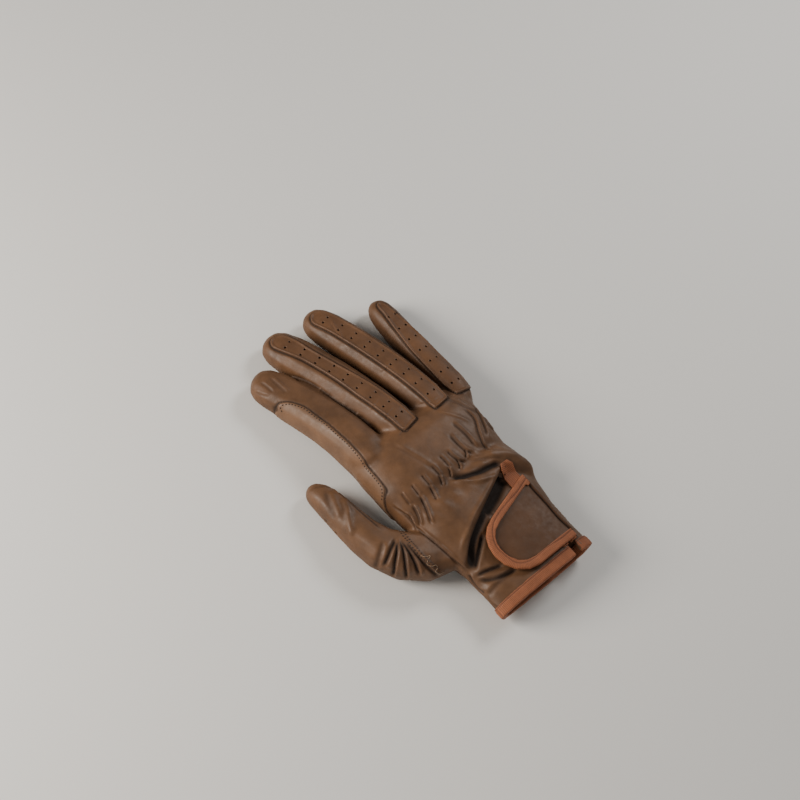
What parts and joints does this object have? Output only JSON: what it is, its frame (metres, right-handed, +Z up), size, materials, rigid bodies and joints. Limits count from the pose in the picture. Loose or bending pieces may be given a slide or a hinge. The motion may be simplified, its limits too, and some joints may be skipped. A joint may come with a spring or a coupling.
{
  "type": "horse riding glove, right hand",
  "caption": "Hollow leather riding glove for the right hand, with perforated finger backs, a gathered wrist and a bound tab that closes its slit cuff.",
  "frame": {"origin": "on the surface that the glove lies on, under the middle of its box", "axes": "+Z up, out of the back of the hand; +Y toward the fingertips; -X toward the thumb"},
  "size_m": [0.1398, 0.2346, 0.0347],
  "materials": {
    "leather": "soft brown nappa leather, fine grain, satin",
    "panel_leather": "the same leather, perforated",
    "patch_leather": "lighter, smoother brown leather",
    "tab_leather": "darker, firmer brown leather, grained",
    "binding": "rust-coloured ribbed tape, stitched",
    "pad": "dark loop fabric"
  },
  "bodies": {
    "root": {"hand_shell": "leather", "index_stall": "leather", "middle_stall": "leather", "ring_stall": "leather", "little_stall": "leather", "thumb_stall": "leather", "middle_back_panel": "panel_leather", "ring_back_panel": "panel_leather", "little_back_panel": "panel_leather", "index_side_patch": "patch_leather", "closure_tab": "tab_leather", "tab_binding": "binding", "hem_binding": "binding", "slit_binding": "binding", "closure_pad": "pad"}
  },
  "joints": []
}
